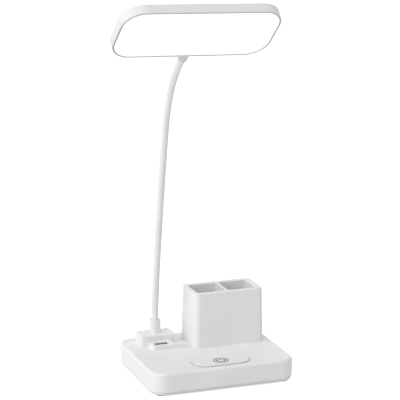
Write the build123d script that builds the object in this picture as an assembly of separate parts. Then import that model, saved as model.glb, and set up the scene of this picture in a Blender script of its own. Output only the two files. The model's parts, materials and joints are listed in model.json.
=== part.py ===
from build123d import *
from dataclasses import dataclass
import math
import os

# An LED desk lamp: a weighted base with a pen cup, a charging socket and a touch
# switch, a neck that bends and stays, and a slim light head.
# The origin is on the table under the middle of the base. +X is to the lamp's
# right, +Y to its back and +Z up. Lengths are in millimetres, angles in degrees.

# General fits and cuts
cut_overrun = 1.0
fit_gap = 0.12
rib_thickness = 1.4
rib_height = 6.3

# Base shell
base_width = 150.0
base_depth = 122.0
base_corner_radius = 16.0
shell_height = 19.0
shell_wall = 2.2
shell_top_wall = 2.4
shell_edge_radius = 2.5
shell_boss_diameter = 7.0

# Bottom cover and feet
foot_diameter = 10.5
foot_stand = 2.0
foot_recess = 0.8
foot_chamfer = 0.6
foot_inset_x = 11.0
foot_inset_y = 11.0
cover_band = 3.2
cover_inset = 0.9
cover_wall = 2.2
cover_chamfer = 0.7
cover_lip_height = 2.4
cover_lip_thickness = 1.6
cover_post_height = 4.6
cover_post_diameter = 8.4

# Cover screws, hidden above the feet
cover_screw_diameter = 3.0
cover_screw_length = 13.0
cover_screw_head_diameter = 5.6
cover_screw_head_height = 1.8

# Neck block, the raised housing that the neck stands on
block_width = 37.5
block_depth = 21.8
block_height = 11.2
block_corner_radius = 4.0
block_edge_radius = 1.3
block_wall = 2.2
block_top_wall = 2.6
block_left_inset = 15.25
block_back_inset = 13.6

# Socket pad in front of the block, and the rail that runs on towards the cup
pad_width = 24.0
pad_reach = 14.1
pad_height = 4.7
pad_wall = 1.8
pad_corner_radius = 4.5
pad_edge_radius = 0.7
pad_offset = 7.75
rail_depth = 4.6
rail_end_gap = 7.5
rail_end_radius = 1.8

# Charging socket, standing upright under the pad
usb_width = 13.2
usb_depth = 5.8
usb_sheet = 0.4
usb_floor = 1.6
usb_mouth_gap = 0.35
usb_sink = 0.4
usb_setback = 5.8
usb_shift = 0.9
tongue_width = 11.1
tongue_thickness = 1.9
tongue_offset = 1.35
tongue_sink = 1.2
contact_count = 4
contact_width = 1.0
contact_thickness = 0.2
contact_pitch = 2.3
contact_length = 7.5

# Touch switch
panel_length = 60.0
panel_width = 27.0
panel_rise = 0.9
panel_seat_depth = 1.4
panel_seam = 0.35
panel_edge_radius = 0.7
panel_center_x = 1.5
panel_front_inset = 19.5
touch_window_diameter = 9.0
touch_contact_diameter = 8.0

# Pen cup: it fills the base's width to the right of the neck block. Each of its
# outer walls leans in by its own draft from foot to rim, and a flat land runs from
# each to the compartments
cup_block_gap = 12.45
cup_depth = 46.8
cup_height = 56.2
cup_left_draft = 1.2
cup_right_draft = 0.55
cup_front_draft = 1.75
cup_back_draft = 3.0
cup_corner_radius = 6.3
cup_left_land = 4.7
cup_right_land = 6.4
cup_front_land = 5.3
cup_back_land = 6.5
cup_land_thickness = 2.6
cup_wall = 2.0
cup_divider = 2.7
cup_floor = 3.0
cup_pocket_radius = 2.2
cup_pocket_floor_chamfer = 1.5
cup_rim_radius = 0.7
rim_limit_share = 0.45
cup_right_inset = 9.0
cup_back_inset = 10.6
cup_tenon_diameter = 8.0
cup_tenon_side_inset = 15.75
cup_tenon_back_inset = 23.4
cup_screw_length = 5.0
cup_screw_head_diameter = 10.0

# Small self-tapping screws of the boards and the cup
board_screw_diameter = 2.2
board_screw_length = 6.0
board_screw_head_diameter = 4.2
board_screw_head_height = 1.4
thread_gap = 0.04

# Control board: it reaches from the left wall to past the touch panel's middle, and
# back to the battery
board_thickness = 1.6
board_corner_radius = 2.0
board_drop = 6.9
board_side_inset = 15.0
board_front_inset = 11.0
board_reach = 10.5
board_battery_gap = 2.3
board_hole_inset = 4.0
board_post_diameter = 6.0

# What stands on the control board
chip_side = 8.0
chip_height = 2.3
coil_diameter = 8.0
coil_bore = 3.2
can_diameter = 5.3
can_height = 4.6
plug_width = 8.0
plug_depth = 4.0
plug_height = 4.6
plug_count = 3
part_pitch = 12.0
plug_row_offset = 16.0

# Rear charging inlet on its own small board
inlet_x = 8.0
inlet_width = 9.0
inlet_thickness = 3.2
inlet_length = 7.4
inlet_sheet = 0.35
inlet_height = 9.4
inlet_tongue_width = 6.7
inlet_tongue_thickness = 0.7
inlet_tongue_sink = 1.0
inlet_board_width = 22.0
inlet_board_depth = 15.0
inlet_board_thickness = 1.2
inlet_board_hole_spread = 16.0
inlet_board_setback = 1.2

# Battery, between the left wall and the inlet's board
battery_depth = 31.0
battery_height = 9.5
battery_corner_radius = 1.6
battery_back_inset = 5.7
battery_side_inset = 18.0
battery_inlet_gap = 4.0
tape_thickness = 0.8

# Counterweight, between the control board and the right wall
weight_height = 8.0
weight_corner_radius = 3.0
weight_side_inset = 17.0
weight_board_gap = 8.0
weight_front_inset = 14.0
weight_back_inset = 24.0
weight_pin_diameter = 4.0
weight_pin_inset = 14.0
weight_pin_head = 0.9

# Low fences on the cover that hold the battery and the counterweight
fence_height = 4.2

# Collar at the foot of the neck, clamped through the block
collar_diameter = 11.7
collar_height = 14.2
collar_edge_radius = 0.8
collar_mouth_chamfer = 0.9
stem_diameter = 9.6
washer_diameter = 16.0
washer_thickness = 0.8
nut_across_flats = 13.0
nut_height = 3.6
stem_tail = 1.0
anchor_diameter = 8.6
anchor_length = 5.0

# Neck: a sleeved rod of seven links with ball seats between them
neck_diameter = 7.3
core_diameter = 4.0
ball_radius = 4.7
ball_gap = 0.3
first_link_length = 18.0
link_length = 46.2
link_bends = (6.3, 3.5, 1.2, 1.0, 0.6, 20.9, 13.2)
link_turns = (0, 0, 0, 0, 0, -1.5, 4.5)
bore_end_share = 0.98

# Straight end of the neck, with its ferrule and the clamp that grips its core
neck_tail = 3.9
ferrule_length = 10.4
ferrule_diameter = 9.5
ferrule_edge_radius = 0.8
sleeve_grip = 5.5
clamp_width = 16.0
clamp_depth = 10.0
clamp_height = 6.0
clamp_screw_spread = 10.4

# Light head
head_length = 157.4
head_width = 69.0
head_thickness = 10.0
head_corner_radius = 21.6
head_rim = 1.25
head_wall = 2.4
head_back_wall = 1.6
head_edge_radius = 1.0
diffuser_thickness = 2.0
diffuser_edge_radius = 0.4
diffuser_seam = 0.45
hook_length = 8.0
hook_thickness = 1.0
hook_height = 2.2
hook_place_share = 1 / 4

# Light engine, inside the head's walls and in front of the neck's clamp
led_board_thickness = 1.0
led_board_corner_radius = 12.0
led_board_end_inset = 7.1
led_board_front_inset = 6.5
led_board_back_inset = 16.5
led_board_post_height = 1.2
led_board_post_diameter = 5.6
led_board_hole_inset_x = 8.0
led_board_hole_inset_y = 12.0
led_board_screw_diameter = 2.0
led_board_screw_length = 2.4
led_board_screw_head_diameter = 3.6
led_board_screw_head_height = 0.9
led_rows = 3
led_columns = 12
led_length = 3.5
led_width = 2.8
led_height = 0.8
led_end_inset = 11.5
led_side_inset = 9.0
reflector_thickness = 0.3
reflector_inset = 1.25
reflector_window_gap = 0.3

# Heights above the table
cover_bottom = foot_stand
shell_bottom = cover_bottom + cover_band
base_top = shell_bottom + shell_height
base_ceiling = base_top - shell_top_wall
cover_floor = cover_bottom + cover_wall
post_top = cover_floor + cover_post_height
block_top = base_top + block_height
block_ceiling = block_top - block_top_wall
pad_top = base_top + pad_height
pad_ceiling = pad_top - pad_wall
panel_seat = base_top - panel_seat_depth
board_top = base_ceiling - board_drop
board_bottom = board_top - board_thickness
inlet_center_z = shell_bottom + inlet_height
inlet_board_top = inlet_center_z - inlet_thickness / 2
mouth_z = block_top + collar_height

# Places in the plan
half_width = base_width / 2
half_depth = base_depth / 2
block_x = block_left_inset + block_width / 2 - half_width
block_y = half_depth - block_back_inset - block_depth / 2
block_right = block_x + block_width / 2
block_front = block_y - block_depth / 2
neck_x = block_x
neck_y = block_y
pad_x = block_x - block_width / 2 + pad_offset + pad_width / 2
pad_front = block_front - pad_reach
usb_x = pad_x - usb_shift
usb_y = pad_front + usb_setback
panel_y = panel_front_inset - half_depth
inlet_y = half_depth
inlet_board_y = half_depth - shell_wall - inlet_board_setback - inlet_board_depth / 2
foot_places = GridLocations(base_width - 2 * foot_inset_x, base_depth - 2 * foot_inset_y, 2, 2)

# The cup's plan at its foot and at its rim
cup_left = block_right + cup_block_gap
cup_right = half_width - cup_right_inset
cup_width = cup_right - cup_left
cup_x = (cup_left + cup_right) / 2
cup_y = half_depth - cup_back_inset - cup_depth / 2
cup_rim_width = cup_width - cup_left_draft - cup_right_draft
cup_rim_depth = cup_depth - cup_front_draft - cup_back_draft
cup_rim_x = cup_x + (cup_left_draft - cup_right_draft) / 2
cup_rim_y = cup_y + (cup_front_draft - cup_back_draft) / 2
cup_pocket_width = (cup_rim_width - cup_left_land - cup_right_land - cup_divider) / 2
cup_pocket_depth = cup_rim_depth - cup_front_land - cup_back_land
cup_pocket_pitch = cup_pocket_width + cup_divider
cup_pocket_x = cup_rim_x + (cup_left_land - cup_right_land) / 2
cup_pocket_y = cup_rim_y + (cup_front_land - cup_back_land) / 2
cup_rim = base_top + cup_height
cup_tenon_y = half_depth - cup_back_inset - cup_tenon_back_inset
cup_tenons = Pos(cup_x, cup_tenon_y) * GridLocations(
    cup_width - 2 * cup_tenon_side_inset, 0, 2, 1
)

# The plans of the battery, the control board and the counterweight
battery_left = battery_side_inset - half_width
battery_right = inlet_x - inlet_board_width / 2 - battery_inlet_gap
battery_width = battery_right - battery_left
battery_x = (battery_left + battery_right) / 2
battery_y = half_depth - battery_back_inset - battery_depth / 2
board_left = board_side_inset - half_width
board_right = panel_center_x + board_reach
board_width = board_right - board_left
board_x = (board_left + board_right) / 2
board_front = board_front_inset - half_depth
board_back = battery_y - battery_depth / 2 - board_battery_gap
board_depth = board_back - board_front
board_y = (board_front + board_back) / 2
board_holes = Pos(board_x, board_y) * GridLocations(
    board_width - 2 * board_hole_inset, board_depth - 2 * board_hole_inset, 2, 2
)
weight_left = board_right + weight_board_gap
weight_right = half_width - weight_side_inset
weight_width = weight_right - weight_left
weight_x = (weight_left + weight_right) / 2
weight_depth = base_depth - weight_front_inset - weight_back_inset
weight_y = weight_front_inset + weight_depth / 2 - half_depth
weight_pins = Pos(weight_x, weight_y) * GridLocations(
    0, weight_depth - 2 * weight_pin_inset, 1, 2
)

# Sizes that follow the neck
neck_radius = neck_diameter / 2
core_radius = core_diameter / 2
bore_radius = core_radius + fit_gap
stem_length = block_top_wall + washer_thickness + nut_height + stem_tail
socket_reach = ball_radius + ball_gap
link_lengths = (first_link_length,) + (link_length,) * (len(link_bends) - 1)
head_reach = neck_tail + ferrule_length


def rounded_plate(width, depth, radius, bottom, top, x=0, y=0):
    """An upright plate with round corners between two heights."""
    outline = RectangleRounded(width, depth, radius)
    return Pos(x, y, bottom) * extrude(outline, top - bottom)


def round_bar(diameter, bottom, top, x=0, y=0):
    """An upright round bar between two heights."""
    return Pos(x, y, bottom) * extrude(Circle(diameter / 2), top - bottom)


def at_places(places, solid):
    """One copy of a solid at each place."""
    return [place * solid for place in places]


def top_edges(solid):
    """The edges that lie highest on a solid."""
    return solid.edges().group_by(Axis.Z)[-1]


def bottom_edges(solid):
    """The edges that lie lowest on a solid."""
    return solid.edges().group_by(Axis.Z)[0]


def screw(diameter, length, head_diameter, head_height, seat):
    """A pan-head screw that points up, with its head hanging below the seat."""
    head = round_bar(head_diameter, seat - head_height, seat)
    head = chamfer(bottom_edges(head), head_height / 2)
    return head + round_bar(diameter, seat, seat + length)


# Base


def foot_posts(diameter, bottom, top):
    """An upright bar above each foot."""
    return at_places(foot_places, round_bar(diameter, bottom, top))


def neck_block():
    """The raised housing under the neck, as a solid lump."""
    lump = rounded_plate(
        block_width, block_depth, block_corner_radius, base_ceiling, block_top, block_x, block_y
    )
    return fillet(top_edges(lump), block_edge_radius)


def neck_block_hollow():
    """The room inside the neck block."""
    inner_radius = max(block_corner_radius - block_wall, rib_thickness)
    width = block_width - 2 * block_wall
    depth = block_depth - 2 * block_wall
    return rounded_plate(
        width, depth, inner_radius, base_ceiling - cut_overrun, block_ceiling, block_x, block_y
    )


def pad_outline(inset):
    """The plan of the socket pad, drawn in from its outer edge."""
    depth = pad_reach + block_wall
    outline = RectangleRounded(
        pad_width - 2 * inset, depth - 2 * inset, pad_corner_radius - inset
    )
    return Pos(pad_x, pad_front + depth / 2) * outline


def rail_outline():
    """The plan of the low rail that runs from the pad towards the cup."""
    start = pad_x
    end = cup_left - rail_end_gap
    outline = RectangleRounded(end - start, rail_depth, rail_end_radius)
    return Pos((start + end) / 2, pad_front + rail_depth / 2) * outline


def socket_pad():
    """The pad round the charging socket with its rail, as a solid lump."""
    outline = pad_outline(0) + rail_outline()
    lump = Pos(0, 0, base_ceiling) * extrude(outline, pad_top - base_ceiling)
    return fillet(top_edges(lump), pad_edge_radius)


def socket_pad_hollow():
    """The room under the socket pad."""
    bottom = base_ceiling - cut_overrun
    return Pos(0, 0, bottom) * extrude(pad_outline(pad_wall), pad_ceiling - bottom)


def shell_ribs():
    """Stiffening ribs under the top wall and gussets beside the corner bosses."""
    inner_width = base_width - 2 * shell_wall
    inner_depth = base_depth - 2 * shell_wall
    cross = Pos(cup_x, 0) * Rectangle(rib_thickness, inner_depth)
    cross += Pos(0, block_front) * Rectangle(inner_width, rib_thickness)
    grid = Pos(0, 0, base_ceiling - rib_height) * extrude(cross, rib_height)
    gusset_height = base_ceiling - post_top
    reach = foot_inset_x - shell_wall + rib_thickness
    arm = Pos(0, 0, post_top) * extrude(Rectangle(reach, rib_thickness), gusset_height)
    for place in foot_places:
        side = math.copysign(reach / 2, place.position.X)
        grid += place * Pos(side, 0) * arm
    return grid


def shell_posts():
    """Screw posts that hang from the top wall."""
    posts = foot_posts(shell_boss_diameter, post_top, base_ceiling)
    posts += at_places(board_holes, round_bar(board_post_diameter, board_top, base_ceiling))
    posts += at_places(
        inlet_holes(), round_bar(board_post_diameter, inlet_board_top, base_ceiling)
    )
    return posts


def inlet_holes():
    """Places of the small rear board's two screws."""
    return Pos(inlet_x, inlet_board_y) * GridLocations(inlet_board_hole_spread, 0, 2, 1)


def shell_cuts():
    """Everything that is cut out of the base shell once it is whole."""
    pilot = board_screw_diameter + 2 * thread_gap
    screw_top = screw_seat() + cover_screw_length + thread_gap
    cuts = foot_posts(cover_screw_diameter + 2 * thread_gap, post_top, screw_top)
    board_pilot = round_bar(pilot, board_top, board_top + board_screw_length)
    inlet_pilot = round_bar(pilot, inlet_board_top, inlet_board_top + board_screw_length)
    cuts += at_places(board_holes, board_pilot)
    cuts += at_places(inlet_holes(), inlet_pilot)
    tenon_hole = round_bar(cup_tenon_diameter + 2 * fit_gap, base_ceiling, base_top)
    cuts += at_places(cup_tenons, tenon_hole)
    cuts.append(round_bar(stem_diameter + 2 * fit_gap, block_ceiling, block_top, neck_x, neck_y))
    cuts.append(usb_mouth())
    cuts.append(panel_recess())
    cuts.append(
        round_bar(touch_window_diameter, base_ceiling, panel_seat, panel_center_x, panel_y)
    )
    cuts.append(inlet_mouth())
    return cuts


def usb_mouth():
    """The window in the pad that the charging socket shows through."""
    width = usb_width + 2 * usb_mouth_gap
    depth = usb_depth + 2 * usb_mouth_gap
    outline = Pos(usb_x, usb_y, pad_ceiling) * RectangleRounded(width, depth, usb_mouth_gap)
    return extrude(outline, pad_wall)


def panel_recess():
    """The seat of the touch panel in the top wall."""
    outline = SlotOverall(panel_length, panel_width)
    return Pos(panel_center_x, panel_y, panel_seat) * extrude(outline, panel_seat_depth)


def inlet_mouth():
    """The window for the charging inlet in the back wall."""
    outline = SlotOverall(inlet_width + 2 * fit_gap, inlet_thickness + 2 * fit_gap)
    return extrude(inlet_plane() * outline, shell_wall)


def base_shell():
    """The base's moulded top shell with the neck block and the socket pad."""
    shell = rounded_plate(base_width, base_depth, base_corner_radius, shell_bottom, base_top)
    shell = fillet(top_edges(shell), shell_edge_radius)
    shell += [neck_block(), socket_pad()]
    shell -= rounded_plate(
        base_width - 2 * shell_wall,
        base_depth - 2 * shell_wall,
        base_corner_radius - shell_wall,
        shell_bottom,
        base_ceiling,
    )
    shell -= [neck_block_hollow(), socket_pad_hollow()]
    shell += shell_ribs() - (rib_clearance() + [neck_block_hollow()])
    shell += shell_posts()
    return shell - shell_cuts()


def rib_clearance():
    """Room round the boards, the socket and the cup's fixings that no rib crosses."""
    deep = base_ceiling - shell_height
    board = rounded_plate(
        board_width + 2 * rib_thickness,
        board_depth + 2 * rib_thickness,
        board_corner_radius,
        deep,
        board_top,
        board_x,
        board_y,
    )
    inlet = rounded_plate(
        inlet_board_width + 2 * rib_thickness,
        inlet_board_depth + 2 * rib_thickness,
        board_corner_radius,
        deep,
        base_ceiling,
        inlet_x,
        half_depth - shell_wall - inlet_board_depth / 2,
    )
    fixings = at_places(cup_tenons, round_bar(cup_screw_head_diameter, deep, base_ceiling))
    socket = rounded_plate(
        usb_width + 2 * rib_thickness,
        usb_depth + 2 * rib_thickness,
        rib_thickness,
        deep,
        pad_ceiling,
        usb_x,
        usb_y,
    )
    return [board, inlet, socket] + fixings


def fence(width, depth, radius, x, y):
    """A low wall round a piece that lies on the cover."""
    inner = RectangleRounded(width + 2 * fit_gap, depth + 2 * fit_gap, radius + fit_gap)
    grown = 2 * (fit_gap + rib_thickness)
    outer = RectangleRounded(width + grown, depth + grown, radius + fit_gap + rib_thickness)
    return Pos(x, y, cover_floor) * extrude(outer - inner, fence_height)


def bottom_cover():
    """The base's bottom cover with its lip, screw posts, fences and foot recesses."""
    cover = rounded_plate(
        base_width - 2 * cover_inset,
        base_depth - 2 * cover_inset,
        base_corner_radius - cover_inset,
        cover_bottom,
        shell_bottom,
    )
    cover = chamfer(bottom_edges(cover), cover_chamfer)
    lip_inset = shell_wall + fit_gap
    lip_radius = base_corner_radius - lip_inset
    lip_top = shell_bottom + cover_lip_height
    lip_width = base_width - 2 * lip_inset
    lip_depth = base_depth - 2 * lip_inset
    cover += rounded_plate(lip_width, lip_depth, lip_radius, shell_bottom, lip_top)
    cover -= rounded_plate(
        lip_width - 2 * cover_lip_thickness,
        lip_depth - 2 * cover_lip_thickness,
        lip_radius - cover_lip_thickness,
        cover_floor,
        lip_top,
    )
    cover += foot_posts(cover_post_diameter, cover_floor, post_top)
    cover += fence(battery_width, battery_depth, battery_corner_radius, battery_x, battery_y)
    cover += fence(weight_width, weight_depth, weight_corner_radius, weight_x, weight_y)
    pin_top = cover_floor + weight_height + weight_pin_head
    cover += at_places(weight_pins, round_bar(weight_pin_diameter, cover_floor, pin_top))
    cover -= foot_posts(foot_diameter + 2 * fit_gap, cover_bottom, cover_bottom + foot_recess)
    cover -= foot_posts(
        cover_screw_head_diameter + 2 * fit_gap, cover_bottom, screw_seat()
    )
    cover -= foot_posts(cover_screw_diameter + 2 * fit_gap, cover_bottom, post_top)
    return cover


def screw_seat():
    """Height of the face that a cover screw's head bears on."""
    return cover_bottom + foot_recess + cover_screw_head_height + fit_gap


def rubber_feet():
    """Four round rubber feet glued into the cover."""
    foot = round_bar(foot_diameter, 0, cover_bottom + foot_recess)
    foot = chamfer(bottom_edges(foot), foot_chamfer)
    return at_places(foot_places, foot)


def cover_screws():
    """Four screws that hold the cover, hidden above the feet."""
    seat = screw_seat()
    one = screw(
        cover_screw_diameter,
        cover_screw_length,
        cover_screw_head_diameter,
        cover_screw_head_height,
        seat,
    )
    return at_places(foot_places, one)


def counterweight():
    """The iron plate that keeps the lamp upright."""
    plate = rounded_plate(
        weight_width,
        weight_depth,
        weight_corner_radius,
        cover_floor,
        cover_floor + weight_height,
        weight_x,
        weight_y,
    )
    hole = round_bar(weight_pin_diameter + 2 * fit_gap, cover_floor, cover_floor + weight_height)
    return plate - at_places(weight_pins, hole)


def battery_tape():
    """The double-sided tape under the battery."""
    inset = 2 * battery_corner_radius
    return rounded_plate(
        battery_width - inset,
        battery_depth - inset,
        battery_corner_radius,
        cover_floor,
        cover_floor + tape_thickness,
        battery_x,
        battery_y,
    )


def battery():
    """The flat rechargeable cell."""
    bottom = cover_floor + tape_thickness
    cell = rounded_plate(
        battery_width,
        battery_depth,
        battery_corner_radius,
        bottom,
        bottom + battery_height,
        battery_x,
        battery_y,
    )
    return cell


# Electronics


def control_board():
    """The main board, hung from the shell's posts."""
    board = rounded_plate(
        board_width,
        board_depth,
        board_corner_radius,
        board_bottom,
        board_top,
        board_x,
        board_y,
    )
    hole = round_bar(board_screw_diameter + 2 * fit_gap, board_bottom, board_top)
    return board - at_places(board_holes, hole)


def board_parts():
    """Two chips, a coil, a capacitor and three plugs on top of the main board."""
    chip = rounded_plate(chip_side, chip_side, fit_gap, 0, chip_height)
    coil = round_bar(coil_diameter, 0, chip_height) - round_bar(coil_bore, 0, chip_height)
    can = round_bar(can_diameter, 0, can_height)
    plug = rounded_plate(plug_width, plug_depth, fit_gap, 0, plug_height)
    row = [chip, coil, can, chip]
    origin = Pos(board_x, board_y, board_top)
    row_places = GridLocations(part_pitch, 0, len(row), 1)
    plug_places = GridLocations(part_pitch, 0, plug_count, 1)
    parts = [origin * place * piece for place, piece in zip(row_places, row)]
    return parts + [origin * Pos(0, -plug_row_offset) * place * plug for place in plug_places]


def board_screws():
    """Four screws that hold the main board."""
    one = screw(
        board_screw_diameter,
        board_screw_length,
        board_screw_head_diameter,
        board_screw_head_height,
        board_bottom,
    )
    return at_places(board_holes, one)


def usb_top():
    """Height of the charging socket's mouth."""
    return pad_top - usb_sink


def usb_socket_shell():
    """The folded metal shell of the upright charging socket."""
    top = usb_top()
    radius = usb_sheet + fit_gap
    outer = rounded_plate(usb_width, usb_depth, radius, board_top, top, usb_x, usb_y)
    inner = rounded_plate(
        usb_width - 2 * usb_sheet,
        usb_depth - 2 * usb_sheet,
        fit_gap,
        board_top,
        top,
        usb_x,
        usb_y,
    )
    return outer - inner


def usb_socket_tongue():
    """The socket's plastic floor and its upright tongue."""
    width = usb_width - 2 * (usb_sheet + fit_gap)
    depth = usb_depth - 2 * (usb_sheet + fit_gap)
    floor = Pos(usb_x, usb_y, board_top) * extrude(Rectangle(width, depth), usb_floor)
    tongue_top = usb_top() - tongue_sink
    outline = Pos(usb_x, usb_y + tongue_offset) * Rectangle(tongue_width, tongue_thickness)
    return floor + Pos(0, 0, board_top) * extrude(outline, tongue_top - board_top)


def usb_contacts():
    """The four contact strips on the tongue's front face."""
    front = usb_y + tongue_offset - tongue_thickness / 2
    strip = Box(
        contact_width,
        contact_thickness,
        contact_length,
        align=(Align.CENTER, Align.MAX, Align.MAX),
    )
    top = usb_top() - tongue_sink - contact_width
    places = Pos(usb_x, front, top) * GridLocations(contact_pitch, 0, contact_count, 1)
    return at_places(places, strip)


def inlet_board():
    """The small board behind the charging inlet."""
    bottom = inlet_board_top - inlet_board_thickness
    board = rounded_plate(
        inlet_board_width,
        inlet_board_depth,
        board_corner_radius,
        bottom,
        inlet_board_top,
        inlet_x,
        inlet_board_y,
    )
    hole = round_bar(board_screw_diameter + 2 * fit_gap, bottom, inlet_board_top)
    return board - at_places(inlet_holes(), hole)


def inlet_screws():
    """Two screws that hold the small board."""
    one = screw(
        board_screw_diameter,
        board_screw_length,
        board_screw_head_diameter,
        board_screw_head_height,
        inlet_board_top - inlet_board_thickness,
    )
    return at_places(inlet_holes(), one)


def inlet_plane(setback=0):
    """The inlet's mouth plane, looking into the base, this far in."""
    return Plane(
        origin=(inlet_x, inlet_y - setback, inlet_center_z), x_dir=(1, 0, 0), z_dir=(0, -1, 0)
    )


def inlet_shell():
    """The metal shell of the charging inlet, closed at its inner end."""
    outer = SlotOverall(inlet_width, inlet_thickness)
    inner = SlotOverall(inlet_width - 2 * inlet_sheet, inlet_thickness - 2 * inlet_sheet)
    shell = extrude(inlet_plane() * outer, inlet_length)
    return shell - extrude(inlet_plane() * inner, inlet_length - inlet_sheet)


def inlet_tongue():
    """The inlet's contact tongue."""
    outline = Rectangle(inlet_tongue_width, inlet_tongue_thickness)
    depth = inlet_length - inlet_sheet - inlet_tongue_sink
    return extrude(inlet_plane(inlet_tongue_sink) * outline, depth)


def touch_panel():
    """The raised touch panel, let into the base's top."""
    outline = SlotOverall(panel_length - 2 * panel_seam, panel_width - 2 * panel_seam)
    panel = extrude(outline, panel_seat_depth + panel_rise)
    panel = fillet(top_edges(panel), panel_edge_radius)
    return Pos(panel_center_x, panel_y, panel_seat) * panel


def touch_contact():
    """The springy conductive pad between the touch panel and the board."""
    return round_bar(touch_contact_diameter, board_top, panel_seat, panel_center_x, panel_y)


# Pen cup


def cup_body(inset):
    """The cup's outer form, wider at its foot than at its rim, drawn in all round."""
    radius = cup_corner_radius - inset
    foot = RectangleRounded(cup_width - 2 * inset, cup_depth - 2 * inset, radius)
    rim = RectangleRounded(cup_rim_width - 2 * inset, cup_rim_depth - 2 * inset, radius)
    return loft(
        [Pos(cup_x, cup_y, base_top) * foot, Pos(cup_rim_x, cup_rim_y, cup_rim) * rim],
        ruled=True,
    )


def cup_pockets():
    """The cup's two compartments."""
    pocket = rounded_plate(
        cup_pocket_width, cup_pocket_depth, cup_pocket_radius, base_top + cup_floor, cup_rim
    )
    pocket = chamfer(bottom_edges(pocket), cup_pocket_floor_chamfer)
    places = Pos(cup_pocket_x, cup_pocket_y) * GridLocations(cup_pocket_pitch, 0, 2, 1)
    return at_places(places, pocket)


def cup_moat():
    """The gap round the compartments that keeps every wall thin, open below."""
    inner = rounded_plate(
        cup_pocket_pitch + cup_pocket_width + 2 * cup_wall,
        cup_pocket_depth + 2 * cup_wall,
        cup_pocket_radius + cup_wall,
        base_top,
        cup_rim,
        cup_pocket_x,
        cup_pocket_y,
    )
    lid = Pos(cup_x, cup_y, cup_rim) * Box(cup_width, cup_depth, 2 * cup_land_thickness)
    return cup_body(cup_wall) - inner - lid


def pen_cup():
    """The two-compartment pen cup with two tenons through the base's top."""
    cup = cup_body(0) - cup_pockets() - cup_moat()
    cup = fillet(top_edges(cup), min(cup_rim_radius, rim_limit_share * cup_divider))
    tenon_end = base_ceiling + fit_gap
    cup += at_places(cup_tenons, round_bar(cup_tenon_diameter, tenon_end, base_top))
    pilot_top = base_ceiling + cup_screw_length + thread_gap
    pilot = round_bar(board_screw_diameter + 2 * thread_gap, tenon_end, pilot_top)
    return cup - at_places(cup_tenons, pilot)


def cup_screws():
    """Two flanged screws that clamp the cup from inside the base."""
    one = screw(
        board_screw_diameter,
        cup_screw_length,
        cup_screw_head_diameter,
        board_screw_head_height,
        base_ceiling,
    )
    return at_places(cup_tenons, one)


# Neck


@dataclass
class NeckArc:
    """The centreline of one neck link: an arc that starts along its start's z axis.

    It bends about the start's x axis, turned in the plan by heading degrees.
    """

    start: Location
    length: float
    bend: float
    heading: float

    def place(self, distance):
        """The neck's frame at this distance along the arc, with z along the neck."""
        swing = self.length / math.radians(self.bend)
        turn = self.bend * distance / self.length
        arc = Pos(0, -swing, 0) * Rot(turn, 0, 0) * Pos(0, swing, 0)
        return self.start * Rot(0, 0, self.heading) * arc * Rot(0, 0, -self.heading)

    def rod(self, radius, begin, end):
        """A round rod on the arc between two distances along it."""
        swing = self.length / math.radians(self.bend)
        turn = self.bend * (end - begin) / self.length
        rod = revolve(Circle(radius), Axis((0, -swing, 0), (1, 0, 0)), turn)
        return self.place(begin) * Rot(0, 0, self.heading) * rod


def neck_arcs():
    """One arc for each link, each starting where the last one ends."""
    arcs = []
    start = Pos(neck_x, neck_y, mouth_z)
    for length, bend, turn in zip(link_lengths, link_bends, link_turns):
        whole = math.hypot(bend, turn)
        heading = math.degrees(math.atan2(turn, bend))
        arc = NeckArc(start, length, whole, heading)
        arcs.append(arc)
        start = arc.place(length)
    return arcs


def neck_end():
    """The frame at the neck's upper end, with z along the neck and y to its back."""
    arc = neck_arcs()[-1]
    return arc.place(arc.length)


def ball_tip():
    """The round tip of a link, a ball that the next link turns on."""
    return round_bar(neck_diameter, 0, ball_radius) & Sphere(ball_radius)


def neck_sleeve(index):
    """The soft outer sleeve of one link, with its ball tip and its round seat."""
    arc = neck_arcs()[index]
    end = arc.place(arc.length)
    last = index == len(link_bends) - 1
    bore_end = arc.length if last else arc.length * bore_end_share
    sleeve = arc.rod(neck_radius, 0, arc.length)
    bore = arc.rod(bore_radius, 0, bore_end)
    if index == 0:
        tail = -(collar_height + stem_length)
        sleeve += arc.start * round_bar(neck_diameter, tail, 0)
        bore += arc.start * round_bar(2 * bore_radius, tail, 0)
    if last:
        sleeve += end * round_bar(neck_diameter, 0, neck_tail + sleeve_grip)
        bore += end * round_bar(2 * bore_radius, 0, neck_tail + sleeve_grip)
    sleeve -= bore
    if index > 0:
        sleeve -= arc.start * Sphere(socket_reach)
    return sleeve if last else sleeve + end * ball_tip()


def neck_core(index):
    """The stiff wire core of one link."""
    arc = neck_arcs()[index]
    last = index == len(link_bends) - 1
    begin = 0 if index == 0 else socket_reach + fit_gap
    end = arc.length if last else arc.length * bore_end_share - fit_gap
    core = arc.rod(core_radius, begin, end)
    if index == 0:
        tail = -(collar_height + stem_length + anchor_length)
        core += arc.start * round_bar(core_diameter, tail, 0)
    if last:
        reach = head_reach + head_wall + clamp_depth
        core += arc.place(arc.length) * round_bar(core_diameter, 0, reach)
    return core


def neck_collar():
    """The collar on the block with its threaded stem."""
    bore = neck_radius + fit_gap
    stem_end = block_top - stem_length
    head = round_bar(collar_diameter, block_top, mouth_z)
    head = fillet(top_edges(head), collar_edge_radius)
    collar = head + round_bar(stem_diameter, stem_end, block_top)
    collar -= round_bar(2 * bore, stem_end, mouth_z)
    mouth = Cone(bore, bore + collar_mouth_chamfer, collar_mouth_chamfer)
    collar -= Pos(0, 0, mouth_z - collar_mouth_chamfer / 2) * mouth
    return Pos(neck_x, neck_y) * collar


def neck_washer():
    """The washer under the block's top wall."""
    top = block_ceiling
    ring = round_bar(washer_diameter, top - washer_thickness, top)
    ring -= round_bar(stem_diameter + 2 * fit_gap, top - washer_thickness, top)
    return Pos(neck_x, neck_y) * ring


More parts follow.
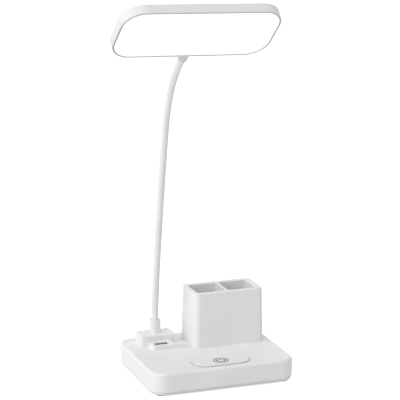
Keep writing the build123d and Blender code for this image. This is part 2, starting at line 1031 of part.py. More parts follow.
def neck_nut():
    """The hexagon nut that clamps the collar's stem."""
    top = block_ceiling - washer_thickness
    hexagon = RegularPolygon(nut_across_flats / 2, 6, major_radius=False)
    nut = Pos(0, 0, top - nut_height) * extrude(hexagon, nut_height)
    nut -= round_bar(stem_diameter + 2 * fit_gap, top - nut_height, top)
    return Pos(neck_x, neck_y) * nut


def neck_anchor():
    """The crimped steel stop under the stem that holds the core down."""
    top = block_top - stem_length
    ring = round_bar(anchor_diameter, top - anchor_length, top)
    ring = chamfer(bottom_edges(ring), fit_gap)
    ring -= round_bar(2 * bore_radius, top - anchor_length, top)
    return Pos(neck_x, neck_y) * ring


def neck_ferrule():
    """The round-edged end cap that joins the neck's sleeve to the head."""
    ferrule = round_bar(ferrule_diameter, 0, ferrule_length)
    ferrule = fillet(bottom_edges(ferrule), ferrule_edge_radius)
    ferrule -= round_bar(neck_diameter + 2 * fit_gap, 0, sleeve_grip)
    ferrule -= round_bar(2 * bore_radius, sleeve_grip, ferrule_length)
    return neck_end() * Pos(0, 0, neck_tail) * ferrule


# Head, in its own frame: the origin is where the neck's axis meets the rear wall,
# x runs along the head, y from its rear to its front edge and z from its lit face
# to its back


def head_frame():
    """The head's own frame."""
    turned = Plane(origin=(0, 0, head_reach), x_dir=(-1, 0, 0), z_dir=(0, 1, 0))
    return neck_end() * turned.location


def head_slab(inset, bottom, top):
    """A slab of the head's outline, drawn in, between two heights of the head."""
    outline = RectangleRounded(
        head_length - 2 * inset, head_width - 2 * inset, head_corner_radius - inset
    )
    return Pos(0, head_width / 2, bottom) * extrude(outline, top - bottom)


head_face = -head_thickness / 2
head_back = head_thickness / 2
head_ceiling = head_back - head_back_wall
diffuser_seat = head_face + diffuser_thickness
led_board_back = head_ceiling - led_board_post_height
led_board_face = led_board_back - led_board_thickness
led_board_length = head_length - 2 * led_board_end_inset
led_board_width = head_width - led_board_front_inset - led_board_back_inset
led_board_y = led_board_back_inset + led_board_width / 2
led_board_holes = Pos(0, led_board_y) * GridLocations(
    led_board_length - 2 * led_board_hole_inset_x,
    led_board_width - 2 * led_board_hole_inset_y,
    2,
    2,
)
led_places = Pos(0, led_board_y) * GridLocations(
    (led_board_length - 2 * led_end_inset) / (led_columns - 1),
    (led_board_width - 2 * led_side_inset) / (led_rows - 1),
    led_columns,
    led_rows,
)
clamp_y = head_wall + clamp_depth / 2
clamp_seat = head_ceiling - clamp_height + led_board_screw_head_height
clamp_holes = Pos(0, clamp_y) * GridLocations(clamp_screw_spread, 0, 2, 1)


def head_bar(diameter, bottom, top):
    """A round bar between two heights of the head."""
    return Pos(0, 0, bottom) * extrude(Circle(diameter / 2), top - bottom)


def head_screw(diameter, length, head_diameter, head_height, seat):
    """A screw that points to the head's back, with its head in front of the seat."""
    body = head_bar(head_diameter, seat - head_height, seat)
    return body + head_bar(diameter, seat, seat + length)


def head_housing():
    """The head's back shell with its side walls and screw posts."""
    housing = head_slab(0, head_face, head_back)
    housing = fillet(top_edges(housing), head_edge_radius)
    housing -= head_slab(head_rim, head_face, diffuser_seat)
    housing -= head_slab(head_wall, head_face, head_ceiling)
    post = head_bar(led_board_post_diameter, led_board_back, head_ceiling)
    housing += at_places(led_board_holes, post)
    pilot = led_board_screw_diameter + 2 * thread_gap
    hole = head_bar(pilot, led_board_back, led_board_face + led_board_screw_length + thread_gap)
    housing -= at_places(led_board_holes, hole)
    clamp_hole = head_bar(pilot, head_ceiling, head_ceiling + head_back_wall / 2 + thread_gap)
    housing -= at_places(clamp_holes, clamp_hole)
    housing -= Rot(-90, 0, 0) * extrude(Circle(bore_radius), head_wall)
    return head_frame() * housing


def diffuser():
    """The milky front panel with snap hooks round its back."""
    plate = head_slab(head_rim + diffuser_seam, head_face, diffuser_seat)
    plate = fillet(bottom_edges(plate), diffuser_edge_radius)
    reach = head_wall + fit_gap + hook_thickness / 2
    span = head_length * hook_place_share
    hook = Box(
        hook_length, hook_thickness, hook_height, align=(Align.CENTER, Align.CENTER, Align.MIN)
    )
    for x in (-span, span):
        for y in (reach, head_width - reach):
            plate += Pos(x, y, diffuser_seat) * hook
    return head_frame() * plate


def led_board():
    """The long board that carries the light-emitting diodes."""
    outline = RectangleRounded(led_board_length, led_board_width, led_board_corner_radius)
    board = Pos(0, led_board_y, led_board_face) * extrude(outline, led_board_thickness)
    hole = head_bar(led_board_screw_diameter + 2 * fit_gap, led_board_face, led_board_back)
    return head_frame() * (board - at_places(led_board_holes, hole))


def leds():
    """Rows of light-emitting diodes on the board's front."""
    one = Pos(0, 0, led_board_face - led_height) * extrude(
        Rectangle(led_length, led_width), led_height
    )
    return [head_frame() * place * one for place in led_places]


def reflector_sheet():
    """The white sheet on the board with a window for each diode."""
    outline = RectangleRounded(
        led_board_length - 2 * reflector_inset,
        led_board_width - 2 * reflector_inset,
        led_board_corner_radius - reflector_inset,
    )
    window = Rectangle(led_length + 2 * reflector_window_gap, led_width + 2 * reflector_window_gap)
    relief = Circle(led_board_screw_head_diameter / 2 + reflector_window_gap)
    sheet = Pos(0, led_board_y) * outline
    sheet -= at_places(led_places, window)
    sheet -= at_places(led_board_holes, relief)
    bottom = led_board_face - reflector_thickness
    return head_frame() * Pos(0, 0, bottom) * extrude(sheet, reflector_thickness)


def led_board_screws():
    """Four small screws that hold the light board."""
    one = head_screw(
        led_board_screw_diameter,
        led_board_screw_length,
        led_board_screw_head_diameter,
        led_board_screw_head_height,
        led_board_face,
    )
    return [head_frame() * place * one for place in led_board_holes]


def neck_clamp():
    """The steel block in the head that grips the neck's core."""
    block = Box(clamp_width, clamp_depth, clamp_height)
    clamp = Pos(0, clamp_y, head_ceiling - clamp_height / 2) * block
    clamp -= Pos(0, head_wall, 0) * Rot(-90, 0, 0) * extrude(Circle(bore_radius), clamp_depth)
    hole = head_bar(led_board_screw_diameter + 2 * fit_gap, clamp_seat, head_ceiling)
    sink = head_bar(
        led_board_screw_head_diameter + 2 * fit_gap, head_ceiling - clamp_height, clamp_seat
    )
    return head_frame() * (clamp - at_places(clamp_holes, hole) - at_places(clamp_holes, sink))


def clamp_screws():
    """Two screws that hold the clamp to the head's back wall."""
    one = head_screw(
        led_board_screw_diameter,
        head_ceiling - clamp_seat + head_back_wall / 2,
        led_board_screw_head_diameter,
        led_board_screw_head_height,
        clamp_seat,
    )
    return [head_frame() * place * one for place in clamp_holes]


def nodes():
    """Every sub-part by name."""
    parts = {
        "base_shell": base_shell(),
        "bottom_cover": bottom_cover(),
        "rubber_feet": rubber_feet(),
        "cover_screws": cover_screws(),
        "counterweight": counterweight(),
        "battery_tape": battery_tape(),
        "battery": battery(),
        "control_board": control_board(),
        "board_parts": board_parts(),
        "board_screws": board_screws(),
        "usb_socket_shell": usb_socket_shell(),
        "usb_socket_tongue": usb_socket_tongue(),
        "usb_contacts": usb_contacts(),
        "inlet_board": inlet_board(),
        "inlet_screws": inlet_screws(),
        "inlet_shell": inlet_shell(),
        "inlet_tongue": inlet_tongue(),
        "touch_panel": touch_panel(),
        "touch_contact": touch_contact(),
        "pen_cup": pen_cup(),
        "cup_screws": cup_screws(),
        "neck_collar": neck_collar(),
        "neck_washer": neck_washer(),
        "neck_nut": neck_nut(),
        "neck_anchor": neck_anchor(),
        "neck_ferrule": neck_ferrule(),
        "neck_clamp": neck_clamp(),
        "clamp_screws": clamp_screws(),
        "head_housing": head_housing(),
        "diffuser": diffuser(),
        "led_board": led_board(),
        "leds": leds(),
        "reflector_sheet": reflector_sheet(),
        "led_board_screws": led_board_screws(),
    }
    for index in range(len(link_bends)):
        parts[f"neck_sleeve_{index}"] = neck_sleeve(index)
        parts[f"neck_core_{index}"] = neck_core(index)
    return parts


def as_shape(part):
    """One shape for a sub-part that is a solid or a list of separate solids."""
    return Compound(children=list(part)) if isinstance(part, list) else part


def print_hinges():
    """Print each hinge's place and its two axes, for the lamp's description."""
    for index, arc in enumerate(neck_arcs()[1:], start=1):
        plane = Plane(arc.start)
        place = [round(v, 3) for v in plane.origin]
        print("hinge", index, "at", place, "axes", plane.x_dir, plane.y_dir)


def main():
    """Write one STEP file for each sub-part."""
    os.makedirs("parts", exist_ok=True)
    for name, part in nodes().items():
        export_step(as_shape(part), f"parts/{name}.step")
    print_hinges()


if __name__ == "__main__":
    main()
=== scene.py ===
"""Looks of a rechargeable LED desk lamp, built round its CAD frame.

The frame brings the base, the pen cup, the neck's links and the light head.
This file dresses every node in the finish of its real material, with painted
shade on the head, the ferrule and the seams round the diffuser and the touch
cap, and adds what the frame leaves out: the smooth silicone sleeve over the
neck's links, the printed touch symbol and the spring tongues in the charging
socket. Lengths are in metres unless a name ends in _mm.
"""

import json
import logging
import math
from dataclasses import dataclass, replace
from enum import Enum
from typing import Any, Iterable, Sequence

import bmesh
import bpy
from mathutils import Matrix, Vector

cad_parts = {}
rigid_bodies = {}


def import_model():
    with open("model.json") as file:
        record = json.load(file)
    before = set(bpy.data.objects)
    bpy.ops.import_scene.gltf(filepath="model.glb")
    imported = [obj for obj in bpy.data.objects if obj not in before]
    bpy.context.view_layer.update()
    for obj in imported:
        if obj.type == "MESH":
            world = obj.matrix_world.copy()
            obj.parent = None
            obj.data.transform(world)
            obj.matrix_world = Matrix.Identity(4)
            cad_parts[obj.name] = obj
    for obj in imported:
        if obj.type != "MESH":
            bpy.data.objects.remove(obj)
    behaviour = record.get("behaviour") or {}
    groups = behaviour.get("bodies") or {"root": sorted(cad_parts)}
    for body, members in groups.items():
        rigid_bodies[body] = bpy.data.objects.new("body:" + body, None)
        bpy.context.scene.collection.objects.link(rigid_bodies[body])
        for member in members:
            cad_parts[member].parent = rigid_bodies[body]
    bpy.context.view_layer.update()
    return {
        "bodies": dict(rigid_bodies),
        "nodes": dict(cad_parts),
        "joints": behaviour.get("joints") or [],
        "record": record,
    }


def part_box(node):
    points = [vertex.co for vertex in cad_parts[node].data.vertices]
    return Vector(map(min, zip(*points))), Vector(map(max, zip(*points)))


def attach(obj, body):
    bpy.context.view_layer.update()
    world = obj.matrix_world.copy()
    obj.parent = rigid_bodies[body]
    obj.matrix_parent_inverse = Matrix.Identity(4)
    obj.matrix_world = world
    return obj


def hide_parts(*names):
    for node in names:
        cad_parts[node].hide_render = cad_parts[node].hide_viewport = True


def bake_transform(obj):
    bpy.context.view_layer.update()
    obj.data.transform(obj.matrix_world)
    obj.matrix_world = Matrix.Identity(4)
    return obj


LOG = logging.getLogger("desk_lamp")

MM = 0.001
# Vertices that lie closer than this are one vertex.
WELD = 0.001 * MM
# The half width that makes a grid one wide, before it is scaled to its size.
HALF_UNIT = 0.5
# Thickness of the frame's own sheet round the charging socket.
SOCKET_SHEET = 0.4 * MM

Socket = bpy.types.NodeSocket
Tree = bpy.types.NodeTree
Node = bpy.types.Node
Triple = tuple[float, float, float]


# Materials

WHITE = (1.0, 1.0, 1.0, 1.0)
# A Mix node's colour sockets share their names with others, so they go by number.
MIX_FROM, MIX_TO, MIX_RESULT = 6, 7, 2
# A clear top layer is a little softer than glass.
COAT_ROUGHNESS = 0.12
# How far light goes into a soft white body, and its share in red, green and blue.
BODY_DEPTH = 1.2 * MM
BODY_SPREAD = (1.0, 0.95, 0.9)
# The fine grain's noise has two octaves, and that of the slow waves only one.
GRAIN_NOISE = {"Detail": 2.0, "Roughness": 0.55}
WAVE_NOISE = {"Detail": 1.0, "Roughness": 0.4}
# The middle part of each noise, which holds nearly all its values.
GRAIN_MIDDLE = {"From Min": 0.3, "From Max": 0.7}
WAVE_MIDDLE = {"From Min": 0.35, "From Max": 0.65}
# Cosines of the angles at which a face stops and starts to count as the lit or top face;
# the faces turned further away take a painted seam shade.
FACE_LIMITS = {"From Min": 0.9, "From Max": 0.98}
# How much duller and glossier than its mean a surface is from grain to grain.
GLOSS_SPREAD = 0.08


def linear(hex_colour: str) -> tuple[float, float, float, float]:
    """Turn an sRGB hex colour into linear light.

    Args:
        hex_colour: six hex digits with a leading hash sign.

    Returns:
        Red, green, blue and an alpha of one.
    """
    channels = [int(hex_colour[i : i + 2], 16) / 255 for i in (1, 3, 5)]
    light = [c / 12.92 if c <= 0.04045 else ((c + 0.055) / 1.055) ** 2.4 for c in channels]
    return light[0], light[1], light[2], 1.0


def add_node(
    tree: Tree,
    kind: str,
    settings: dict[str, Any] | None = None,
    inputs: dict[str | int, Any] | None = None,
) -> Node:
    """Add one node, set it up and link or fill its inputs.

    Args:
        tree: the node tree to add to.
        kind: Blender's name of the node's type.
        settings: the node's own properties by name.
        inputs: for each input, by name or number, either the socket to link or a value.

    Returns:
        The new node.
    """
    node = tree.nodes.new(kind)
    for name, value in (settings or {}).items():
        setattr(node, name, value)
    for name, value in (inputs or {}).items():
        socket = node.inputs[name]
        if isinstance(value, Socket):
            tree.links.new(value, socket)
        else:
            socket.default_value = value
    return node


class Grain(Enum):
    """How a surface was made, which is what its fine relief looks like."""

    MOULDED = "moulded against a spark-eroded tool"
    POLISHED = "moulded against a polished tool"
    SPRAYED = "sprayed or powder coated"
    BRUSHED = "brushed or drawn"
    CAST = "cast and painted"
    SOFT = "moulded soft rubber"
    FOAM = "foamed"
    WOVEN = "woven glass cloth under resin"


@dataclass(frozen=True)
class Relief:
    """The pattern that a kind of surface shows.

    Attributes:
        grain_mm: width of one grain of the fine relief.
        depth_mm: height that the fine relief stands for.
        wave_mm: width of the slow waves under it, such as sink marks.
        wave_depth_mm: height of the slow waves.
        stretch: how far the grain is drawn out along each axis.
    """

    grain_mm: float
    depth_mm: float
    wave_mm: float
    wave_depth_mm: float
    stretch: Triple = (1.0, 1.0, 1.0)


RELIEFS: dict[Grain, Relief] = {
    # A spark-eroded mould leaves pits of about 0.1 mm. They are drawn 0.7 mm wide,
    # because the picture's pixels are a millimetre across.
    Grain.MOULDED: Relief(grain_mm=0.7, depth_mm=0.008, wave_mm=34.0, wave_depth_mm=0.03),
    # A polished mould shows little but the slow waves of cooling plastic.
    Grain.POLISHED: Relief(grain_mm=1.4, depth_mm=0.002, wave_mm=40.0, wave_depth_mm=0.02),
    # Powder flows out into an orange peel about a millimetre wide.
    Grain.SPRAYED: Relief(grain_mm=1.0, depth_mm=0.012, wave_mm=18.0, wave_depth_mm=0.02),
    # Brushing leaves lines a few tenths wide and many millimetres long.
    Grain.BRUSHED: Relief(
        grain_mm=0.35, depth_mm=0.008, wave_mm=12.0, wave_depth_mm=0.01, stretch=(1.0, 1.0, 0.06)
    ),
    # Cast iron keeps the sand's grain, which is about a millimetre wide.
    Grain.CAST: Relief(grain_mm=1.1, depth_mm=0.06, wave_mm=14.0, wave_depth_mm=0.10),
    # Soft rubber takes a fine matt grain, drawn as wide as a pixel, and keeps a little
    # waviness.
    Grain.SOFT: Relief(grain_mm=0.9, depth_mm=0.012, wave_mm=22.0, wave_depth_mm=0.04),
    # Foam has open cells of a few tenths of a millimetre, drawn twice as wide to show.
    Grain.FOAM: Relief(grain_mm=0.8, depth_mm=0.10, wave_mm=6.0, wave_depth_mm=0.08),
    # Glass cloth in a circuit board has threads about 0.5 mm apart.
    Grain.WOVEN: Relief(grain_mm=0.5, depth_mm=0.006, wave_mm=20.0, wave_depth_mm=0.02),
}


@dataclass(frozen=True)
class Finish:
    """One real material and how its surface was made.

    Attributes:
        name: the material's name in a maker's words.
        colour: its sRGB colour.
        variation: a second sRGB colour that the first drifts towards.
        grain: how the surface was made.
        roughness: how far it scatters reflections, from 0 to 1.
        ior: index of refraction of what is not a metal.
        metallic: 1 for bare metal, 0 for anything else.
        coat: strength of a clear top layer.
        subsurface: share of light that goes a little way into the body.
        edge: sRGB colour painted on the faces that look another way than its face, as the shade of
            the seam round it, or nothing.
        facing: the way that its face looks, in the lamp's own axes.
        glow_strength: strength of the white light that its face gives off.
    """

    name: str
    colour: str
    variation: str
    grain: Grain
    roughness: float
    ior: float = 1.5
    metallic: float = 0.0
    coat: float = 0.0
    subsurface: float = 0.0
    edge: str | None = None
    facing: Triple = (0.0, 0.0, 1.0)
    glow_strength: float = 0.0

    def build(self) -> bpy.types.Material:
        """Make the node material.

        Returns:
            The finished material, also found later by its name.
        """
        found = bpy.data.materials.get(self.name)
        if found is not None:
            return found
        material = bpy.data.materials.new(self.name)
        material.use_nodes = True
        tree = material.node_tree
        tree.nodes.clear()
        shader = add_node(
            tree,
            "ShaderNodeBsdfPrincipled",
            inputs={
                "Metallic": self.metallic,
                "Coat Weight": self.coat,
                "Coat Roughness": COAT_ROUGHNESS,
                "Subsurface Weight": self.subsurface,
                "Subsurface Radius": BODY_SPREAD,
                "Subsurface Scale": BODY_DEPTH,
            },
        )
        if not self.metallic:
            shader.inputs["IOR"].default_value = self.ior
        self._relief(tree, shader)
        if self.edge is not None:
            # Paint the seam's shade on the faces that look away from the face.
            self._paint_seam_shade_and_glow(tree, shader, self.edge)
        add_node(tree, "ShaderNodeOutputMaterial", inputs={"Surface": shader.outputs["BSDF"]})
        return material

    def _relief(self, tree: Tree, shader: Node) -> None:
        """Give the shader its colour drift, patchy gloss and bump.

        Args:
            tree: the material's node tree.
            shader: the shader to link into.
        """
        relief = RELIEFS[self.grain]
        place = add_node(tree, "ShaderNodeTexCoord").outputs["Object"]
        drawn = add_node(
            tree, "ShaderNodeMapping", inputs={"Vector": place, "Scale": relief.stretch}
        ).outputs["Vector"]
        grain = add_node(
            tree,
            "ShaderNodeTexNoise",
            inputs={"Vector": drawn, "Scale": 1 / (relief.grain_mm * MM), **GRAIN_NOISE},
        ).outputs["Fac"]
        waves = add_node(
            tree,
            "ShaderNodeTexNoise",
            inputs={"Vector": place, "Scale": 1 / (relief.wave_mm * MM), **WAVE_NOISE},
        ).outputs["Fac"]
        patches = add_node(
            tree, "ShaderNodeMapRange", inputs={"Value": waves, **WAVE_MIDDLE}
        ).outputs["Result"]
        drift = add_node(
            tree,
            "ShaderNodeMix",
            {"data_type": "RGBA"},
            {"Factor": patches, MIX_FROM: linear(self.colour), MIX_TO: linear(self.variation)},
        ).outputs[MIX_RESULT]
        tree.links.new(drift, shader.inputs["Base Color"])
        gloss = add_node(
            tree,
            "ShaderNodeMapRange",
            inputs={
                "Value": grain,
                "To Min": self.roughness * (1 - GLOSS_SPREAD),
                "To Max": min(1.0, self.roughness * (1 + GLOSS_SPREAD)),
                **GRAIN_MIDDLE,
            },
        ).outputs["Result"]
        tree.links.new(gloss, shader.inputs["Roughness"])
        slow = add_node(
            tree,
            "ShaderNodeBump",
            inputs={"Height": waves, "Strength": 1.0, "Distance": relief.wave_depth_mm * MM},
        ).outputs["Normal"]
        fine = add_node(
            tree,
            "ShaderNodeBump",
            inputs={
                "Height": grain,
                "Strength": 1.0,
                "Distance": relief.depth_mm * MM,
                "Normal": slow,
            },
        ).outputs["Normal"]
        tree.links.new(fine, shader.inputs["Normal"])

    def _paint_seam_shade_and_glow(self, tree: Tree, shader: Node, edge: str) -> None:
        """Let light out through the face only, and paint the other faces a darker colour as the
        shade of the seam round it.

        Args:
            tree: the material's node tree.
            shader: the shader to link into, which has its base colour already.
            edge: sRGB colour of the other faces, painted shade of the seam.
        """
        normal = add_node(tree, "ShaderNodeTexCoord").outputs["Normal"]
        turned_by = add_node(
            tree,
            "ShaderNodeVectorMath",
            {"operation": "DOT_PRODUCT"},
            {0: normal, 1: self.facing},
        ).outputs["Value"]
        face = add_node(
            tree, "ShaderNodeMapRange", inputs={"Value": turned_by, **FACE_LIMITS}
        ).outputs["Result"]
        face_colour = shader.inputs["Base Color"].links[0].from_socket
        # The faces turned away take the edge colour, painted shade of the seam.
        colour = add_node(
            tree,
            "ShaderNodeMix",
            {"data_type": "RGBA"},
            {"Factor": face, MIX_FROM: linear(edge), MIX_TO: face_colour},
        ).outputs[MIX_RESULT]
        tree.links.new(colour, shader.inputs["Base Color"])
        if self.glow_strength:
            shader.inputs["Emission Strength"].default_value = self.glow_strength
            tree.links.new(face, shader.inputs["Emission Color"])


# White ABS from a lightly textured tool: the eye reads a soft, even satin.
SATIN_ABS = Finish(
    "satin moulded ABS, white", "#F3F3F3", "#EFEFEF", Grain.MOULDED, roughness=0.5, ior=1.54
)
# White ABS from a smooth tool: the cup catches a broad, soft highlight.
SMOOTH_ABS = Finish(
    "smooth moulded ABS, white", "#F3F3F3", "#EFEFEF", Grain.POLISHED, roughness=0.44, ior=1.54
)
# The head is the base's white ABS painted darker, as painted shade on the head,
# which keeps its rim apart from the lit panel.
SHADED_HEAD_ABS = Finish(
    "satin moulded ABS, white darkened as painted shade", "#EAEAEA", "#E8E8E8", Grain.MOULDED, roughness=0.5, ior=1.54
)
# The cover is the same plastic from a coarser tool, so it is duller.
MATT_ABS = Finish(
    "matt moulded ABS, off-white", "#E4E4E4", "#E1E1E1", Grain.MOULDED, roughness=0.6, ior=1.54
)
# Platinum-cured silicone: dead even and matt, and a little light goes into it.
SILICONE = Finish(
    "moulded silicone rubber, white",
    "#F1F1F1",
    "#EDEDED",
    Grain.SOFT,
    roughness=0.65,
    ior=1.41,
    subsurface=0.08,
)
# Thermoplastic rubber feet: off-white and dull so that they grip.
FOOT_RUBBER = Finish(
    "moulded TPE rubber, off-white", "#E1E1E1", "#DADADA", Grain.SOFT, roughness=0.78
)
# Powder-coated steel: white with a fine orange peel and a mild gloss.
POWDER_COAT = Finish(
    "powder-coated steel, white", "#F2F2F2", "#EEEEEE", Grain.SPRAYED, roughness=0.38, coat=0.15
)
# The ferrule's white powder coat is painted a light grey, as painted shade under the head.
SHADED_FERRULE_COAT = Finish(
    "powder-coated steel, light grey", "#DCDCDC", "#D7D7D7", Grain.SPRAYED, roughness=0.42
)
# Opal acrylic with the diodes lit behind it: it glows evenly, whiter than anything else.
# Its side faces are painted dark grey as the shade of the seam, so that a dark line runs round it.
OPAL_ACRYLIC = Finish(
    "opal PMMA, lit from behind",
    "#FBFBFB",
    "#F8F8F8",
    Grain.POLISHED,
    roughness=0.3,
    ior=1.49,
    edge="#666666",
    glow_strength=0.4,
)
# Cap of the touch switch: a little glossier than the base round it. Its side faces are
# painted grey as the shade of the seam round it.
TOUCH_CAP = Finish(
    "polished polycarbonate, white",
    "#F3F3F3",
    "#F0F0F0",
    Grain.POLISHED,
    roughness=0.4,
    ior=1.58,
    edge="#CACACA",
)
# Pad-printing ink: flat neutral grey, thin and dull.
PRINT_INK = Finish(
    "pad-printing ink, grey", "#7A7A7A", "#737373", Grain.POLISHED, roughness=0.6
)
# Nickel-plated steel sheet: a grey metal with soft draw lines, dull inside the sockets.
NICKEL_SHEET = Finish(
    "nickel-plated steel sheet",
    "#B1B1B0",
    "#A5A5A4",
    Grain.BRUSHED,
    roughness=0.34,
    metallic=1.0,
)
# The tongues of both sockets: white glass-filled nylon with a matt face.
NYLON_INSULATOR = Finish(
    "glass-filled nylon, white", "#EDEDED", "#E6E6E6", Grain.MOULDED, roughness=0.55, ior=1.53
)
# Gold flash over phosphor bronze.
GOLD_FLASH = Finish(
    "gold-flashed bronze", "#E0B45C", "#D3A650", Grain.BRUSHED, roughness=0.25, metallic=1.0
)
# Zinc-plated screws: bluish, bright and a bit cloudy.
ZINC_PLATE = Finish(
    "zinc-plated steel", "#B9BDC2", "#A9ADB2", Grain.BRUSHED, roughness=0.36, metallic=1.0
)
# Bright drawn spring wire in the neck.
DRAWN_STEEL = Finish(
    "bright drawn steel wire", "#A6A6A8", "#98989A", Grain.BRUSHED, roughness=0.3, metallic=1.0
)
# A cast plate dipped in black paint.
DIPPED_IRON = Finish(
    "dipped cast iron, black", "#262628", "#323234", Grain.CAST, roughness=0.55
)
# Glass-cloth laminate under green solder mask.
SOLDER_MASK = Finish(
    "solder mask on glass laminate, green",
    "#1C5A34",
    "#174E2C",
    Grain.WOVEN,
    roughness=0.3,
    ior=1.52,
    coat=0.3,
)
# White solder mask on an aluminium-backed board.
WHITE_MASK = Finish(
    "solder mask on aluminium, white", "#EEEEEC", "#E8E8E6", Grain.SPRAYED, roughness=0.35, ior=1.52
)
# Epoxy moulding compound of chips: black, with a fine matt blast.
CHIP_EPOXY = Finish(
    "epoxy moulding compound, black", "#1E1E20", "#262628", Grain.MOULDED, roughness=0.55, ior=1.55
)
# PET shrink sleeve round the cell: thin, glossy and blue.
SHRINK_PET = Finish(
    "PET shrink sleeve, blue",
    "#2B5FA8",
    "#24529A",
    Grain.POLISHED,
    roughness=0.22,
    ior=1.57,
    coat=0.4,
)
# Double-sided foam tape.
FOAM_TAPE = Finish(
    "polyethylene foam tape, white", "#E6E6E2", "#DADAD6", Grain.FOAM, roughness=0.9
)
# Carbon-loaded foam that carries the touch signal.
CARBON_FOAM = Finish(
    "conductive foam, black", "#2C2C2E", "#232325", Grain.FOAM, roughness=0.9
)
# Silicone with yellow phosphor over each diode.
PHOSPHOR = Finish(
    "phosphor-filled silicone, yellow", "#F2DC7A", "#EBD26A", Grain.SOFT, roughness=0.4, ior=1.43
)
# White PET film behind the diffuser.
PET_FILM = Finish(
    "microcellular PET film, white", "#F7F7F6", "#F3F3F2", Grain.POLISHED, roughness=0.5, ior=1.57
)


NODE_FINISHES: dict[str, Finish] = {
    "base_shell": SATIN_ABS,
    "bottom_cover": MATT_ABS,
    "rubber_feet": FOOT_RUBBER,
    "cover_screws": ZINC_PLATE,
    "counterweight": DIPPED_IRON,
    "battery_tape": FOAM_TAPE,
    "battery": SHRINK_PET,
    "control_board": SOLDER_MASK,
    "board_parts": CHIP_EPOXY,
    "board_screws": ZINC_PLATE,
    "usb_socket_shell": NICKEL_SHEET,
    "usb_socket_tongue": NYLON_INSULATOR,
    "usb_contacts": GOLD_FLASH,
    "inlet_board": SOLDER_MASK,
    "inlet_screws": ZINC_PLATE,
    "inlet_shell": NICKEL_SHEET,
    "inlet_tongue": NYLON_INSULATOR,
    "touch_panel": TOUCH_CAP,
    "touch_contact": CARBON_FOAM,
    "pen_cup": SMOOTH_ABS,
    "cup_screws": ZINC_PLATE,
    "neck_collar": POWDER_COAT,
    "neck_washer": ZINC_PLATE,
    "neck_nut": ZINC_PLATE,
    "neck_anchor": ZINC_PLATE,
    "neck_ferrule": SHADED_FERRULE_COAT,
    "neck_clamp": ZINC_PLATE,
    "clamp_screws": ZINC_PLATE,
    "head_housing": SHADED_HEAD_ABS,
    "led_board": WHITE_MASK,
    "leds": PHOSPHOR,
    "reflector_sheet": PET_FILM,
    "led_board_screws": ZINC_PLATE,
}


# Meshes


def mesh_object(name: str, shape: bmesh.types.BMesh, finish: Finish) -> bpy.types.Object:
    """Turn a bmesh into an object with a finish, and free the bmesh.

    Args:
        name: the object's name.
        shape: the finished bmesh, in the lamp's own frame.
        finish: its finish.

    Returns:
        The linked object.
    """
    mesh = bpy.data.meshes.new(name)
    shape.to_mesh(mesh)
    shape.free()
    mesh.materials.append(finish.build())
    piece = bpy.data.objects.new(name, mesh)
    bpy.context.scene.collection.objects.link(piece)
    return piece


def turned(degrees: float, axis: str) -> Matrix:
    """Make a turn about one axis.

    Args:
        degrees: the angle.
        axis: the axis, X, Y or Z.

    Returns:
        The turn as a 4 by 4 matrix.
    """
    return Matrix.Rotation(math.radians(degrees), 4, axis)


@dataclass
class NeckArc:
    """One link of the neck: an arc that leaves its start along the start's z axis.

    Attributes:
        start: frame at the arc's lower end.
        length: length along the arc.
        bend: whole angle that it turns, in degrees.
        heading: direction in its own plan that it bends towards, in degrees.
    """

    start: Matrix
    length: float
    bend: float
    heading: float

    def centre(self) -> Vector:
        """The point that the arc turns about."""
        swing = self.length / math.radians(self.bend)
        return self.start @ turned(self.heading, "Z") @ Vector((0, -swing, 0))

    def axis(self) -> Vector:
        """The direction of the axis that the arc turns about."""
        frame = self.start @ turned(self.heading, "Z")
        return (frame.to_3x3() @ Vector((1, 0, 0))).normalized()

    def place(self, share: float) -> Matrix:
        """The frame at a share of the arc's length.

        Args:
            share: 0 at the lower end and 1 at the upper end.

        Returns:
            The frame there, with z along the neck.
        """
        about = Matrix.Translation(self.centre())
        turn = Matrix.Rotation(math.radians(self.bend * share), 4, self.axis())
        return about @ turn @ about.inverted() @ self.start


